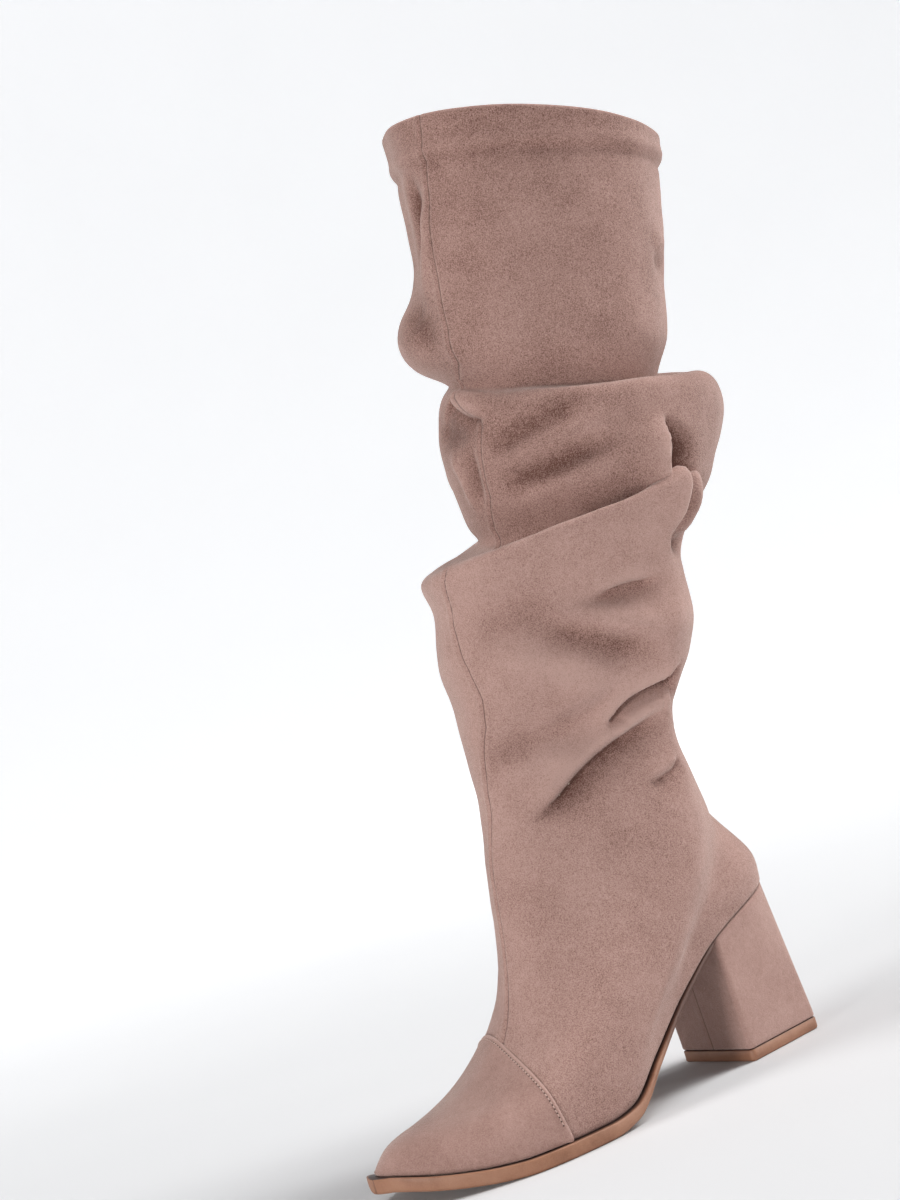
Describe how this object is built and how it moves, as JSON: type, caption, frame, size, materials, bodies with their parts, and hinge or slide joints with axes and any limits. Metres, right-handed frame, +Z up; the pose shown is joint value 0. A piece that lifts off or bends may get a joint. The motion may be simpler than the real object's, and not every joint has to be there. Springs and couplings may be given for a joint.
{
  "type": "heeled boot",
  "caption": "Knee-high slouched suede boot for the left foot, with a pointed toe, toe cap and covered block heel, hollow and open at the collar.",
  "frame": {"origin": "middle of the flat heel tread, on the floor", "axes": "+X to the toe, +Y to the outer side of the left foot, +Z up the shaft"},
  "size_m": [0.3058, 0.1232, 0.4709],
  "materials": {
    "suede": "matte",
    "tan_rubber": "satin",
    "footbed": "matte"
  },
  "bodies": {
    "root": {"upper": "suede", "toe_cap": "suede", "heel_block": "suede", "outsole": "tan_rubber", "heel_top_lift": "tan_rubber", "insole": "footbed"}
  },
  "joints": []
}
